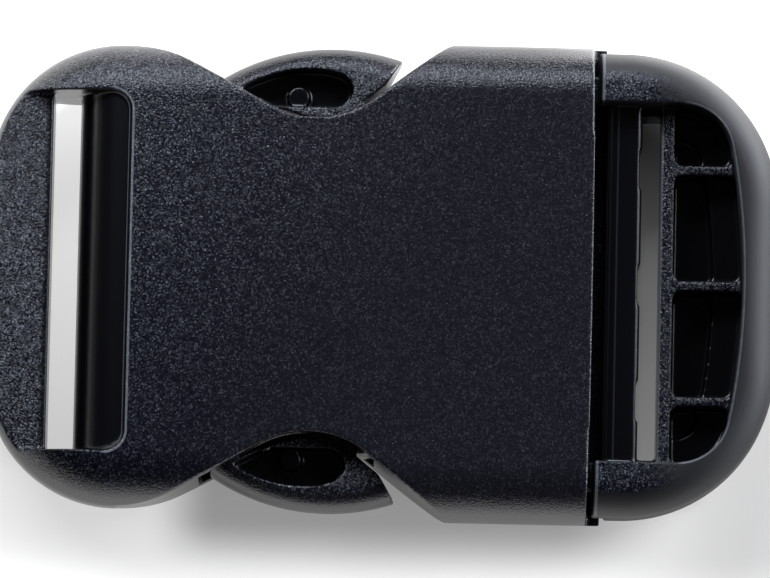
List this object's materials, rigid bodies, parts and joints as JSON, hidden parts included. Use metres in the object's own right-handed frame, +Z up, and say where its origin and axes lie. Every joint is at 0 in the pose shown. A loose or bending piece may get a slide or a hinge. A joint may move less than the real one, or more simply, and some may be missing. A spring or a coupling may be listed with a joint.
{
  "type": "side release buckle",
  "caption": "Fastened side release buckle: a grained socket with a squeezed waist and a strap bar, and a plug with spring arms, finger pads and a laddered strap frame.",
  "frame": {"origin": "centre of the fastened buckle's footprint, on the surface it rests on", "axes": "+X from the socket to the plug, +Y across the webbing, +Z up through the faces"},
  "size_m": [0.088, 0.0536, 0.013],
  "materials": {
    "grained_plastic": "moulded black acetal with a fine leather grain",
    "smooth_plastic": "moulded black acetal, grained on its flats and satin smooth on its rolled edges"
  },
  "bodies": {
    "root": {"socket": "grained_plastic", "plug": "smooth_plastic"}
  },
  "joints": []
}
